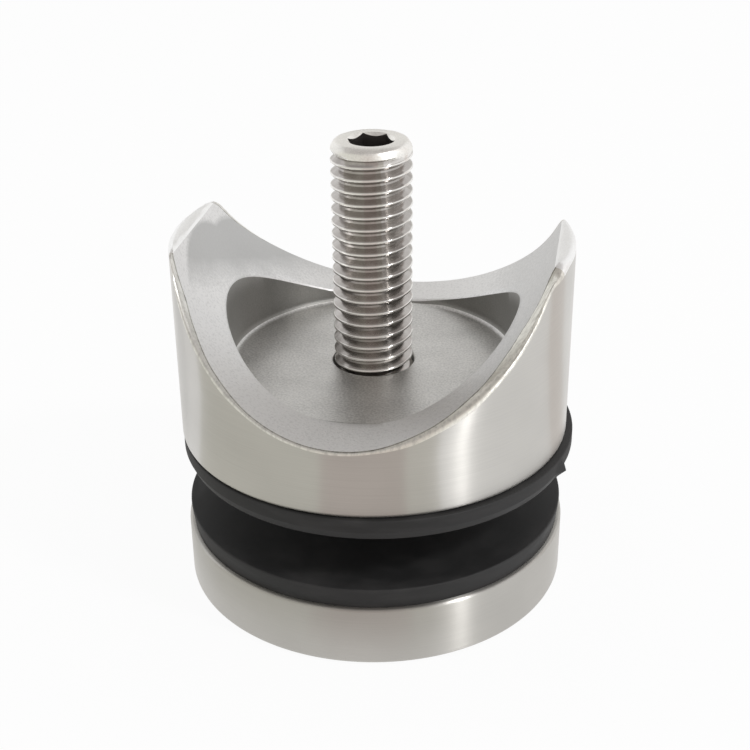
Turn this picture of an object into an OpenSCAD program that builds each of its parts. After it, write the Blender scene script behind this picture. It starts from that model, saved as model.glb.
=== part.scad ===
// Glass panel standoff: clamps a glass pane to a round handrail tube.
// The cap stands on the floor with its outer face at z = 0, its centre is the origin,
// +Z runs along the stud and +Y runs along the handrail tube.

/* [Handrail tube] */
// Outer diameter of the handrail tube that the saddle fits
tube_d = 38.1; // [33.7:0.1:48.3]

/* [Glass] */
// Clear gap between the two gaskets with the clamp closed
glass_gap = 6; // [4.5:0.5:12]

/* [Outside] */
// Diameter of the cap and of the saddle body, which line up
fitting_d = 40; // [36:0.5:46]

/* [Saddle body] */
// Height of the saddle body, from its underside to the flats on its horns
body_h = 20.5; // [17:0.5:24]
// Steel left between the underside and the lowest line of the saddle
saddle_floor = 7; // [5:0.5:10]
// Diameter of the round pocket under the tube
pocket_d = 29.5; // [22:0.5:33]
// How far the pocket's floor lies below the lowest line of the saddle
pocket_drop = 0.15; // [0.05:0.05:2]
// Radius of the fillet between the pocket's floor and its wall
pocket_fillet = 0.8; // [0.3:0.1:2]
// Radius on the edge of the underside
body_edge = 0.5; // [0.2:0.1:1.5]
// How much wider the body's bore is than the stud, across the diameter
bore_play = 1; // [0.4:0.1:2]
// Chamfer at the lower mouth of the bore
bore_chamfer = 0.6; // [0.2:0.1:1]

/* [Threaded stud] */
// Nominal diameter of the stud's thread
stud_d = 8; // [6:1:10]
// Pitch of the stud's thread
stud_pitch = 1.25; // [0.75:0.25:1.5]
// Depth of the thread, on the radius
thread_depth = 0.6; // [0.3:0.05:0.8]
// Width of the thread's crest
thread_crest_w = 0.3; // [0.1:0.05:0.5]
// Overall length of the stud
stud_l = 45; // [40:1:60]
// Height of the chamfer on each end of the stud
stud_chamfer = 0.5; // [0.3:0.1:1.2]
// Width across flats of the hexagon socket
hex_af = 4; // [2.5:0.5:5]
// Depth of the hexagon socket
hex_depth = 4.5; // [2:0.5:8]

/* [Cap] */
// Thickness of the cap's disc
cap_h = 6.5; // [5:0.5:10]
// Radius on the edge of the cap's outer face
cap_edge = 0.6; // [0.2:0.1:1.5]
// Chamfer on the edge of the cap's gasket face
cap_rim_chamfer = 0.3; // [0.1:0.1:0.8]
// Diameter of the threaded boss that stands on the cap
boss_d = 13; // [11:0.5:15]
// How far the boss stops short of the end of the sleeve
boss_setback = 0.5; // [0.2:0.1:2]
// Steel left between the cap's outer face and the threaded hole
cap_web = 1.8; // [1:0.1:4]
// Running clearance of the stud in the threaded hole, on the radius
thread_play = 0.05; // [0.01:0.01:0.1]
// Space under the end of the stud in the threaded hole
stud_end_gap = 0.2; // [0.1:0.1:1]

/* [Gaskets and sleeve] */
// Thickness of each rubber gasket
gasket_t = 2.2; // [1:0.1:4]
// How far the cap's gasket stays inside the cap's edge where it lies on the cap
cap_gasket_inset = 0.5; // [0.3:0.1:1.5]
// How much the cap's gasket widens toward the glass, on the radius
cap_gasket_flare = 0.25; // [0:0.05:0.5]
// How far the rim of the tube side's gasket stands proud of the body, on the radius
tube_gasket_proud = 0.3; // [0:0.1:1]
// Height of that rim, before the side tapers in toward the glass
tube_gasket_rim = 0.9; // [0.3:0.1:0.9]
// How much the side tapers in toward the glass, on the radius
tube_gasket_taper = 0.4; // [0.1:0.1:1]
// Hole in the tube side's gasket, wider than the stud by this across the diameter
tube_gasket_play = 2; // [1:0.1:3]
// How far the loose gasket has settled off the stud's axis, along +X
tube_gasket_shift = 0.4; // [0:0.1:0.4]
// Wall of the sleeve that keeps the glass off the boss
sleeve_wall = 1.4; // [0.8:0.1:2.5]
// Clearance between the sleeve and the boss inside it, on the radius
sleeve_play = 0.1; // [0.05:0.05:0.3]
// Clearance between the cap's gasket and the sleeve inside it, on the radius
cap_gasket_play = 0.15; // [0.05:0.05:0.5]

/* [Hidden] */

// Faces round a turned form, and steps in a small edge radius
round_fn = 120;
edge_steps = 4;
// Length by which a cutter runs past the face that it cuts
over = 1;

// Heights of the stack, each on the one below it
cap_gasket_z = cap_h;
glass_z = cap_gasket_z + gasket_t;
tube_gasket_z = glass_z + glass_gap;
body_z = tube_gasket_z + gasket_t;
saddle_z = body_z + saddle_floor;
pocket_z = saddle_z - pocket_drop;
tube_axis_z = saddle_z + tube_d / 2;
stud_z = cap_web + stud_end_gap;
stud_top_z = stud_z + stud_l;

// A thread stands as rings at its pitch where it is free, and as a plain
// cylinder of its mean diameter where it is screwed in or hidden in the body
thread_depth_share = 0.65;
thread_mean_d = stud_d - thread_depth_share * stud_pitch;
thread_top_z = stud_top_z - stud_chamfer - thread_crest_w;
thread_groove_w = stud_pitch - thread_crest_w;
thread_turns = floor((thread_top_z - pocket_z) / stud_pitch);

cap_gasket_r = fitting_d / 2 - cap_gasket_inset;
tube_gasket_r = fitting_d / 2 + tube_gasket_proud;

sleeve_bore_d = boss_d + 2 * sleeve_play;
sleeve_d = sleeve_bore_d + 2 * sleeve_wall;
sleeve_l = tube_gasket_z - cap_h;
boss_l = sleeve_l - boss_setback;

steel_satin = [0.72, 0.70, 0.67];
steel_bright = [0.80, 0.79, 0.78];
rubber_black = [0.13, 0.13, 0.14];
nylon_black = [0.08, 0.08, 0.09];

// Points of a quarter round from angle a to angle a + 90 about a centre
function quarter(centre, r, a) =
    [for (i = [0 : edge_steps])
        centre + r * [cos(a + 90 * i / edge_steps), sin(a + 90 * i / edge_steps)]];

// Disc turned from bar, with its lower edge rounded and its upper edge chamfered
module turned_disc(d, h, lower_r, upper_c) {
    rotate_extrude($fn = round_fn)
        polygon(concat(
            [[0, 0]],
            quarter([d / 2 - lower_r, lower_r], lower_r, -90),
            upper_c > 0 ? [[d / 2, h - upper_c], [d / 2 - upper_c, h]] : [[d / 2, h]],
            [[0, h]]
        ));
}

// Flat ring whose outside runs through the given points, bored through
module ring(outline, h, bore) {
    difference() {
        rotate_extrude($fn = round_fn)
            polygon(concat([[0, 0]], outline, [[0, h]]));
        translate([0, 0, -over])
            cylinder(d = bore, h = h + 2 * over, $fn = round_fn);
    }
}

// Turned cap: a disc with a boss that is drilled and threaded blind
module front_cap() {
    color(steel_satin)
        difference() {
            union() {
                turned_disc(fitting_d, cap_h, cap_edge, cap_rim_chamfer);
                cylinder(d = boss_d, h = cap_h + boss_l, $fn = round_fn);
            }
            translate([0, 0, cap_web])
                cylinder(d = thread_mean_d + 2 * thread_play,
                    h = cap_h + boss_l, $fn = round_fn);
        }
}

// Rubber ring between the cap and the glass, wider at the glass
module cap_gasket() {
    color(rubber_black)
        translate([0, 0, cap_gasket_z])
            ring([[cap_gasket_r, 0], [cap_gasket_r + cap_gasket_flare, gasket_t]],
                gasket_t, sleeve_d + 2 * cap_gasket_play);
}

// Plastic sleeve round the boss; the tube side's gasket rests on its end
module glass_sleeve() {
    color(nylon_black)
        translate([0, 0, cap_h])
            ring([[sleeve_d / 2, 0], [sleeve_d / 2, sleeve_l]], sleeve_l, sleeve_bore_d);
}

// Rubber ring between the glass and the saddle body, lying a little off centre
module tube_gasket() {
    color(rubber_black)
        translate([0, 0, tube_gasket_z])
            difference() {
                translate([tube_gasket_shift, 0, 0])
                    rotate_extrude($fn = round_fn)
                        polygon([
                            [0, 0],
                            [tube_gasket_r - tube_gasket_taper, 0],
                            [tube_gasket_r, gasket_t - tube_gasket_rim],
                            [tube_gasket_r, gasket_t],
                            [0, gasket_t]
                        ]);
                translate([tube_gasket_shift, 0, -over])
                    cylinder(d = stud_d + tube_gasket_play,
                        h = gasket_t + 2 * over, $fn = round_fn);
            }
}

// Outline of the pocket's cutter, with a fillet at the floor and an open top
module pocket_cutter() {
    r = pocket_d / 2;
    rotate_extrude($fn = round_fn)
        polygon(concat(
            [[0, 0]],
            quarter([r - pocket_fillet, pocket_fillet], pocket_fillet, -90),
            [[r, body_h], [0, body_h]]
        ));
}

// Solid cup: turned outside, saddle milled across its top, round pocket under the tube
module saddle_body() {
    bore_d = stud_d + bore_play;
    color(steel_satin)
        difference() {
            translate([0, 0, body_z])
                turned_disc(fitting_d, body_h, body_edge, 0);
            translate([0, 0, tube_axis_z])
                rotate([90, 0, 0])
                    cylinder(d = tube_d, h = fitting_d + 2 * over, center = true, $fn = 2 * round_fn);
            translate([0, 0, pocket_z])
                pocket_cutter();
            translate([0, 0, body_z - over])
                cylinder(d = bore_d, h = saddle_floor + 2 * over, $fn = round_fn);
            translate([0, 0, body_z])
                cylinder(d1 = bore_d + 2 * bore_chamfer, d2 = bore_d, h = bore_chamfer,
                    $fn = round_fn);
        }
}

// Points of the free thread's grooves, from the lowest to the highest
function thread_grooves(crest_r) =
    [for (i = [thread_turns - 1 : -1 : 0], p = [[0, 1], [-thread_depth, 0.5], [0, 0]])
        [crest_r + p[0], thread_top_z - i * stud_pitch - p[1] * thread_groove_w]];

// Stud: threaded rod with chamfered ends and a hexagon socket in its free end
module threaded_stud() {
    lower_r = thread_mean_d / 2;
    crest_r = stud_d / 2;
    color(steel_bright)
        difference() {
            rotate_extrude($fn = round_fn)
                polygon(concat(
                    [[0, stud_z],
                    [lower_r - stud_chamfer, stud_z],
                    [lower_r, stud_z + stud_chamfer],
                    [lower_r, pocket_z],
                    [crest_r, pocket_z]],
                    thread_grooves(crest_r),
                    [[crest_r, stud_top_z - stud_chamfer],
                    [crest_r - stud_chamfer, stud_top_z],
                    [0, stud_top_z]]
                ));
            translate([0, 0, stud_top_z - hex_depth])
                cylinder(d = hex_af / cos(30), h = hex_depth + over, $fn = 6);
        }
}

front_cap();
cap_gasket();
glass_sleeve();
tube_gasket();
saddle_body();
threaded_stud();
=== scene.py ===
"""A glass panel standoff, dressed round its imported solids.

A threaded stud joins a turned cap to a saddle body that seats on a round
handrail tube. Two rubber gaskets hold the glass between them, and a nylon
sleeve keeps it off the boss. Each sub-assembly is a class whose fields are its sizes in millimetres;
places come from the frame.
"""

import logging
import math
from collections.abc import Callable, Sequence
from dataclasses import dataclass, field
from enum import Enum

import bmesh
import bpy
from mathutils import Matrix, Vector


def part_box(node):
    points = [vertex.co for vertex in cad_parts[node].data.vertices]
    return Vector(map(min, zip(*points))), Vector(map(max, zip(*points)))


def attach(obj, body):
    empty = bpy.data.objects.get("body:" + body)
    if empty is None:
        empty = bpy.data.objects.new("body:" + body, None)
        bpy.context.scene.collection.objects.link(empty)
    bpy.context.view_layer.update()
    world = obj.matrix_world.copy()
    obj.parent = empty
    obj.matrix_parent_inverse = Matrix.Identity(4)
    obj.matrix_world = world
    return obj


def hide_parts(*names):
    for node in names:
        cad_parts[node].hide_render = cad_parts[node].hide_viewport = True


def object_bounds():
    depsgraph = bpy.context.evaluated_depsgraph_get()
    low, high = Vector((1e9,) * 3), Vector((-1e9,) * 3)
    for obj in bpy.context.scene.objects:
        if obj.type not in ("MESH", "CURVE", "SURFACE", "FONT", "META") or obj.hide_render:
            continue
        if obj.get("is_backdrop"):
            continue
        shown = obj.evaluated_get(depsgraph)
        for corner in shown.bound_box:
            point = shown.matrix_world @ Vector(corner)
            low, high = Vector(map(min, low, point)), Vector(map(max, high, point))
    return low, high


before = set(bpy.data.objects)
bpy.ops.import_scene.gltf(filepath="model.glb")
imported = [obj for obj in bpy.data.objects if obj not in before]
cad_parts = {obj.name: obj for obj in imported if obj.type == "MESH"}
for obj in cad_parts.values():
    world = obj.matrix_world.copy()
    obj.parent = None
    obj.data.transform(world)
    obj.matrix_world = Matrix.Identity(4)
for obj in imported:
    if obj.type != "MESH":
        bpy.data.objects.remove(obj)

MM = 0.001
SLIVER = 0.0001  # metres that keep the studio's cards and floor off the object
TURN = 2.0 * math.pi
LOG = logging.getLogger("standoff")

Colour = tuple[float, float, float]
Point2 = tuple[float, float]
Grid = tuple[float, float, float]
Vert = bmesh.types.BMVert
Socket = bpy.types.NodeSocket
Material = bpy.types.Material
Piece = bpy.types.Object


# Turned profiles and rings


@dataclass(frozen=True)
class Corner:
    """One corner of a turned profile, in millimetres.

    Args:
        r: Radius from the stud's axis.
        z: Height above the cap's outer face.
        fillet: Radius that rounds the corner, or 0 for a sharp one.
    """

    r: float
    z: float
    fillet: float = 0.0


def rounded(corners: Sequence[Corner], closed: bool, steps: int = 4) -> list[Point2]:
    """Turns corners into the points of a profile with rounded corners.

    Args:
        corners: The profile's corners in order.
        closed: Whether the last corner joins the first.
        steps: Spans in each rounded corner.

    Returns:
        Points as (radius, height) in millimetres.
    """
    points: list[Point2] = []
    count = len(corners)
    for place, corner in enumerate(corners):
        here = Vector((corner.r, corner.z))
        inner = closed or 0 < place < count - 1
        if corner.fillet <= 0.0 or not inner:
            points.append((corner.r, corner.z))
            continue
        before = corners[place - 1]
        after = corners[(place + 1) % count]
        back = (Vector((before.r, before.z)) - here).normalized()
        ahead = (Vector((after.r, after.z)) - here).normalized()
        half = back.angle(ahead) / 2.0
        reach = corner.fillet / math.tan(half)
        centre = here + (back + ahead).normalized() * (corner.fillet / math.sin(half))
        start = here + back * reach - centre
        end = here + ahead * reach - centre
        sweep = start.angle_signed(end)
        for step in range(steps + 1):
            spoke = start.copy()
            spoke.rotate(Matrix.Rotation(-sweep * step / steps, 2))
            points.append((centre.x + spoke.x, centre.y + spoke.y))
    return points


def span(box: Sequence[Vector]) -> tuple[float, float, float]:
    """Gives a box's half width, bottom and top in millimetres."""
    low, high = box
    return (high.x - low.x) / 2.0 / MM, low.z / MM, high.z / MM


def add_object(name: str, data: bpy.types.ID) -> Piece:
    """Makes an object of its data and links it to the scene.

    Args:
        name: The object's name.
        data: Its mesh, camera or light.

    Returns:
        The new object.
    """
    made = bpy.data.objects.new(name, data)
    bpy.context.scene.collection.objects.link(made)
    return made


def mesh_object(name: str, mesh: bmesh.types.BMesh, finish: Material) -> Piece:
    """Makes an object of one finish from a mesh.

    Args:
        name: The object's name.
        mesh: Its shape, which is used up.
        finish: Its material.

    Returns:
        The new object, linked to the scene.
    """
    data = bpy.data.meshes.new(name)
    mesh.to_mesh(data)
    mesh.free()
    data.materials.append(finish)
    return add_object(name, data)


class Workpiece:
    """A mesh that is built from rings of points round the Z axis."""

    def __init__(self, segments: int) -> None:
        """Starts an empty mesh whose rings have that many points."""
        self.segments = segments
        self.mesh = bmesh.new()

    def angle(self, column: int) -> float:
        """Gives the angle of a column of points, in radians."""
        return TURN * column / self.segments

    def ring(
        self, place: Callable[[float], Point2], centre: Point2 = (0.0, 0.0)
    ) -> list[Vert]:
        """Adds one ring of points.

        Args:
            place: Gives (radius, height) in millimetres at an angle.
            centre: The ring's own axis, (x, y) in millimetres.

        Returns:
            The new points, in order round the ring.
        """
        made = []
        for column in range(self.segments):
            turn = self.angle(column)
            r, z = place(turn)
            spot = (
                (centre[0] + r * math.cos(turn)) * MM,
                (centre[1] + r * math.sin(turn)) * MM,
                z * MM,
            )
            made.append(self.mesh.verts.new(spot))
        return made

    def bridge(
        self, first: Sequence[Vert], second: Sequence[Vert],
        finish: int | Sequence[int] = 0,
    ) -> None:
        """Joins two rings with a band of faces.

        Args:
            first: One ring.
            second: The next ring, with as many points.
            finish: Index of the band's finish, or one index for each column.
        """
        count = len(first)
        for column in range(count):
            after = (column + 1) % count
            face = self.mesh.faces.new(
                (first[column], first[after], second[after], second[column])
            )
            face.material_index = finish if isinstance(finish, int) else finish[column]

    def close_ring(self, ring: Sequence[Vert], height: float, finish: int = 0) -> None:
        """Closes a ring with a fan of faces to a point on the axis.

        Args:
            ring: The ring to close.
            height: Height of the point on the axis, in millimetres.
            finish: Index of the fan's finish.
        """
        tip = self.mesh.verts.new((0.0, 0.0, height * MM))
        for column, point in enumerate(ring):
            after = ring[(column + 1) % len(ring)]
            self.mesh.faces.new((point, after, tip)).material_index = finish

    def turn_profile(
        self, profile: Sequence[Point2], closed: bool, centre: Point2 = (0.0, 0.0)
    ) -> list[list[Vert]]:
        """Turns a profile round the axis.

        Args:
            profile: Points as (radius, height) in millimetres.
            closed: Whether the last ring joins the first.
            centre: The turned form's own axis, in millimetres.

        Returns:
            The rings, in the profile's order.
        """
        rings = [self.ring(lambda _turn, p=p: p, centre) for p in profile]
        for first, second in zip(rings, rings[1:] + (rings[:1] if closed else [])):
            self.bridge(first, second)
        return rings

    def release(
        self, name: str, finishes: Sequence[Material], sharp_degrees: float = 32.0
    ) -> Piece:
        """Cleans the mesh and makes an object of it.

        Args:
            name: The piece's name.
            finishes: Materials in the order of the faces' indexes.
            sharp_degrees: Edges that turn more than this stay crisp.

        Returns:
            The new object, linked to the scene.
        """
        bmesh.ops.remove_doubles(self.mesh, verts=self.mesh.verts, dist=0.002 * MM)
        bmesh.ops.dissolve_degenerate(self.mesh, edges=self.mesh.edges, dist=0.0005 * MM)
        bmesh.ops.recalc_face_normals(self.mesh, faces=self.mesh.faces)
        data = bpy.data.meshes.new(name)
        self.mesh.to_mesh(data)
        self.mesh.free()
        for material in finishes:
            data.materials.append(material)
        for face in data.polygons:
            face.use_smooth = True
        data.set_sharp_from_angle(angle=math.radians(sharp_degrees))
        return add_object(name, data)


# Finishes


class NodeBench:
    """A node tree, with short calls that add and join nodes."""

    def __init__(self, name: str, world: bpy.types.World | None = None) -> None:
        """Empties the tree of a new material, or of a world.

        Args:
            name: The new material's name.
            world: The world to work on in place of a material.
        """
        self.owner = world or bpy.data.materials.new(name)
        self.owner.use_nodes = True
        self.tree = self.owner.node_tree
        self.tree.nodes.clear()

    def add(
        self, kind: str, inputs: dict[str | int, object] | None = None, **settings: object
    ) -> bpy.types.Node:
        """Adds a node.

        Args:
            kind: Blender's name for the kind of node, after ShaderNode.
            inputs: Input values, or the sockets that feed them.
            **settings: The node's own properties.

        Returns:
            The new node.
        """
        node = self.tree.nodes.new(f"ShaderNode{kind}")
        for key, value in settings.items():
            setattr(node, key, value)
        for key, value in (inputs or {}).items():
            self.feed(node.inputs[key], value)
        return node

    def feed(self, socket: Socket, value: object) -> None:
        """Sets an input socket, or links it when the value is a socket.

        Args:
            socket: The input.
            value: Its value, or the socket that feeds it.
        """
        if isinstance(value, Socket):
            self.tree.links.new(value, socket)
        elif isinstance(value, tuple) and socket.type == "RGBA":
            socket.default_value = (*value, 1.0)
        else:
            socket.default_value = value

    def sum(self, operation: str, *values: object) -> Socket:
        """Does arithmetic on sockets and numbers.

        Args:
            operation: The Math node's operation.
            *values: Its operands, as sockets or numbers.

        Returns:
            The result's socket.
        """
        return self.add("Math", dict(enumerate(values)), operation=operation).outputs[0]

    def weigh(self, first: Socket, share: object, second: Socket, rest: object) -> Socket:
        """Adds two grey values, each times its own share.

        Args:
            first: One value.
            share: What it is multiplied by.
            second: The other value.
            rest: What that one is multiplied by.

        Returns:
            The sum's socket.
        """
        return self.sum(
            "ADD", self.sum("MULTIPLY", first, share), self.sum("MULTIPLY", second, rest)
        )

    def spot(self) -> tuple[Socket, Socket, Socket, Socket]:
        """Gives the place on the object, in metres.

        Returns:
            Sockets for x, y, z and the radius.
        """
        place = self.add("TexCoord").outputs["Object"]
        x, y, z = self.add("SeparateXYZ", {"Vector": place}).outputs[:3]
        return x, y, z, self.sum("SQRT", self.weigh(x, x, y, y))

    def turned_coordinates(self, around: float, along: float, outward: float) -> Socket:
        """Makes coordinates that follow a turned surface.

        Args:
            around: Cells in one radian round the axis.
            along: Cells in one millimetre of height.
            outward: Cells in one millimetre of radius.

        Returns:
            A vector socket for a texture.
        """
        x, y, z, radius = self.spot()
        return self.add("CombineXYZ", {
            "X": self.sum("MULTIPLY", self.sum("ARCTAN2", y, x), around),
            "Y": self.sum("MULTIPLY", z, along / MM),
            "Z": self.sum("MULTIPLY", radius, outward / MM),
        }).outputs["Vector"]

    def noise(self, vector: Socket | None, scale: float, detail: float = 2.0) -> Socket:
        """Adds a noise texture.

        Args:
            vector: Its coordinates, or None for the object's own metres.
            scale: Cells in one unit of the coordinates.
            detail: Octaves of finer noise.

        Returns:
            The grey value's socket.
        """
        vector = vector or self.add("TexCoord").outputs["Object"]
        inputs = {"Vector": vector, "Scale": scale, "Detail": detail}
        return self.add("TexNoise", inputs).outputs["Fac"]

    def ramp(
        self, value: Socket, low: tuple[float, Colour], high: tuple[float, Colour]
    ) -> Socket:
        """Turns a grey value into a colour between two.

        Args:
            value: The grey value.
            low: Where the first colour stands, and the colour.
            high: Where the second colour stands, and the colour.

        Returns:
            The colour's socket.
        """
        node = self.add("ValToRGB", {"Fac": value})
        for stop, (place, colour) in zip(node.color_ramp.elements, (low, high)):
            stop.position = place
            stop.color = (*colour, 1.0)
        return node.outputs["Color"]

    def spread(
        self, value: Socket, low: float, high: float, bottom: float = 0.3, top: float = 0.7
    ) -> Socket:
        """Maps a grey value from one range to another.

        Args:
            value: The grey value.
            low: The result at the bottom of the range.
            high: The result at the top of the range.
            bottom: Where the value's range starts.
            top: Where it ends.

        Returns:
            The result's socket.
        """
        return self.add("MapRange", {
            "Value": value, "From Min": bottom, "From Max": top, "To Min": low, "To Max": high
        }).outputs["Result"]

    def bump(self, height: Socket, depth: float, strength: object) -> Socket:
        """Adds surface relief.

        Args:
            height: The relief's grey value.
            depth: The relief's depth in millimetres.
            strength: How much of it shows.

        Returns:
            The normal's socket.
        """
        return self.add("Bump", {
            "Strength": strength, "Distance": depth * MM, "Height": height
        }).outputs["Normal"]

    def seen(self) -> Socket:
        """Tells rays from the eye, a mirror or glass from the others.

        Returns:
            A socket that is 1 for those rays and 0 for the others.
        """
        path = self.add("LightPath").outputs
        both = self.sum("MAXIMUM", path["Is Camera Ray"], path["Is Glossy Ray"])
        return self.sum("MAXIMUM", both, path["Is Transmission Ray"])

    def end(self, shader: bpy.types.Node, kind: str = "Material") -> bpy.types.ID:
        """Ends the tree with a shader and returns the material or world."""
        self.add(f"Output{kind}", {"Surface": shader.outputs[0]})
        return self.owner

    def surface(
        self, colour: Socket, roughness: Socket, normal: Socket, **more: object
    ) -> Material:
        """Ends the tree with a principled surface.

        Args:
            colour: Its base colour.
            roughness: Its roughness.
            normal: Its relief.
            **more: Other inputs, with _ for each space in their names.

        Returns:
            The material.
        """
        inputs = {"Base Color": colour, "Roughness": roughness, "Normal": normal}
        inputs.update((key.replace("_", " "), value) for key, value in more.items())
        return self.end(self.add("BsdfPrincipled", inputs))

    def marked_round(self, stretch: float) -> dict[str, object]:
        """Gives a surface's inputs for steel whose marks run round the axis.

        Args:
            stretch: How far the marks stretch a highlight across them.

        Returns:
            Inputs for surface, by name.
        """
        tangent = self.add("Tangent", direction_type="RADIAL", axis="Z").outputs["Tangent"]
        return {"Metallic": 1.0, "Anisotropic": stretch,
                "Anisotropic_Rotation": 0.25, "Tangent": tangent}


def tinted(colour: Colour, share: float) -> Colour:
    """Gives a colour made lighter or darker by a share of itself."""
    return (colour[0] * share, colour[1] * share, colour[2] * share)


@dataclass(frozen=True)
class BrushedSteel:
    """Steel that was brushed while it turned, so its marks run round it.

    Args:
        name: The material's name.
        colour: Its colour.
        roughness: Mean roughness.
        stretch: How far the marks stretch a highlight across them.
        depth: Depth of the brush marks in millimetres.
        lines: Cells of the brush marks round, along and out from the axis.
        patches: Cells of the broader patches, in the same three ways.
    """

    name: str
    colour: Colour = (0.61, 0.595, 0.565)
    roughness: float = 0.3
    stretch: float = 1.0
    depth: float = 0.004
    lines: Grid = (1.6, 9.0, 9.0)
    patches: Grid = (2.4, 0.16, 0.16)

    def material(self) -> Material:
        """Builds the finish as a node material.

        Returns:
            The material.
        """
        bench = NodeBench(self.name)
        lines = bench.noise(bench.turned_coordinates(*self.lines), 1.0, 3.0)
        patches = bench.noise(bench.turned_coordinates(*self.patches), 1.0, 2.0)
        colour = bench.ramp(
            bench.weigh(lines, 0.5, patches, 0.5),
            (0.35, tinted(self.colour, 0.94)), (0.65, tinted(self.colour, 1.04)),
        )
        roughness = bench.spread(lines, self.roughness - 0.02, self.roughness + 0.03)
        relief = bench.bump(lines, self.depth, 0.35)
        return bench.surface(colour, roughness, relief, **bench.marked_round(self.stretch))


@dataclass(frozen=True)
class BlastedSteel:
    """Steel with the fine even grain that bead blasting leaves.

    Args:
        name: The material's name.
        colour: Its colour.
        roughness: Mean roughness.
        grain: Grains in one millimetre.
        depth: Depth of the grain in millimetres.
        mottle: How much lighter and darker the grains are.
        cloud: Clouds under the grain in one millimetre.
    """

    name: str
    colour: Colour
    roughness: float = 0.5
    grain: float = 6.0
    depth: float = 0.02
    mottle: float = 0.08
    cloud: float = 0.22

    def material(self) -> Material:
        """Builds the finish as a node material.

        Returns:
            The material.
        """
        bench = NodeBench(self.name)
        grains = bench.noise(None, self.grain / MM, 3.0)
        clouds = bench.noise(None, self.cloud / MM, 2.0)
        colour = bench.ramp(
            bench.weigh(grains, 0.7, clouds, 0.3),
            (0.36, tinted(self.colour, 1.0 - self.mottle)),
            (0.64, tinted(self.colour, 1.0 + self.mottle)),
        )
        roughness = bench.spread(grains, self.roughness - 0.06, self.roughness + 0.06)
        return bench.surface(
            colour, roughness, bench.bump(grains, self.depth, 0.5), Metallic=1.0
        )


@dataclass(frozen=True)
class SaddleSteel:
    """The milled saddle: grainy and light low down, smoother and darker higher up and on the left
    horn.

    Args:
        name: The material's name.
        low: Colour where the grain is strong.
        high: Darker colour of the smoother steel higher up.
        fade: Levels between which the one turns into the other, in millimetres.
        lean: How far the level changes for each millimetre toward +X and +Y.
        margin: Radius beyond which the steel stays light, in millimetres.
        back: Distance toward +Y from which that radius grows, in millimetres.
        swell: How much it grows for each millimetre beyond.
        right: How far the right horn's steel is on the way to the darker one.
        roughness: Mean roughness.
        grain: Grains in one millimetre.
        depth: Depth of the grain in millimetres.
        cloud: Clouds in one millimetre, which make the fade uneven.
        shoulder: Span of x over which the right horn turns darker, in millimetres.
    """

    name: str
    low: Colour = (0.80, 0.795, 0.79)
    high: Colour = (0.53, 0.53, 0.525)
    fade: Point2 = (34.0, 37.9)
    lean: Point2 = (-0.25, 0.42)
    margin: float = 18.25
    back: float = 5.0
    swell: float = 0.3
    right: float = 0.5
    roughness: float = 0.46
    grain: float = 4.0
    depth: float = 0.04
    cloud: float = 0.3
    shoulder: Point2 = (9.0, 14.0)

    def material(self) -> Material:
        """Builds the finish as a node material.

        Returns:
            The material.
        """
        bench = NodeBench(self.name)
        x, y, z, reach = bench.spot()
        height = bench.sum("ADD", z, bench.weigh(x, self.lean[0], y, self.lean[1]))
        behind = bench.sum("MAXIMUM", bench.sum("SUBTRACT", y, self.back * MM), 0.0)
        radius = bench.weigh(reach, 1.0 / MM, behind, -self.swell / MM)
        grains = bench.noise(None, self.grain / MM, 3.0)
        clouds = bench.noise(None, self.cloud / MM, 2.0)
        level = bench.sum("ADD", bench.sum("MULTIPLY", height, 1.0 / MM),
                          bench.spread(clouds, -0.5, 0.5))
        rise = bench.sum("MULTIPLY", bench.spread(level, 0.0, 1.0, *self.fade),
                         bench.spread(radius, 1.0, 0.0, self.margin - 0.15, self.margin + 0.15))
        near, far = (place * MM for place in self.shoulder)
        rise = bench.sum("MAXIMUM", rise, bench.spread(x, 0.0, self.right, near, far))
        speck = bench.spread(grains, -0.35, 0.35)
        tone = bench.weigh(rise, 1.0, speck, bench.sum("SUBTRACT", 1.0, rise))
        return bench.surface(
            bench.ramp(tone, (0.0, self.low), (1.0, self.high)),
            bench.spread(grains, self.roughness - 0.05, self.roughness + 0.05),
            bench.bump(grains, self.depth, bench.spread(rise, 0.7, 0.05, 0.0, 1.0)),
            Metallic=1.0,
        )


@dataclass(frozen=True)
class GroundSteel:
    """Steel whose edge was broken on a belt, with short darker scratches.

    Args:
        name: The material's name.
        colour: Its colour on the right.
        left: Its colour on the left.
        roughness: Mean roughness.
        scratch: How much darker the scratches are.
        marks: Cells of the scratches round, along and out from the axis.
        blend: Distance from the middle over which the colours blend.
    """

    name: str
    colour: Colour = (0.80, 0.785, 0.72)
    left: Colour = (0.82, 0.81, 0.77)
    roughness: float = 0.34
    scratch: float = 0.15
    marks: Grid = (55.0, 0.9, 2.5)
    blend: float = 6.0

    def material(self) -> Material:
        """Builds the finish as a node material.

        Returns:
            The material.
        """
        bench = NodeBench(self.name)
        marks = bench.noise(bench.turned_coordinates(*self.marks), 1.0, 4.0)
        right, left = (
            bench.ramp(marks, (0.36, tinted(colour, 1.0 - self.scratch)), (0.56, colour))
            for colour in (self.colour, self.left)
        )
        blend = self.blend * MM
        across = bench.spread(bench.spot()[0], 0.0, 1.0, -blend, blend)
        mix = bench.add("Mix", {0: across, 6: left, 7: right}, data_type="RGBA")
        roughness = bench.spread(marks, self.roughness + 0.1, self.roughness - 0.04)
        return bench.surface(
            mix.outputs[2], roughness, bench.bump(marks, 0.02, 0.4), Metallic=1.0
        )


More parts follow.
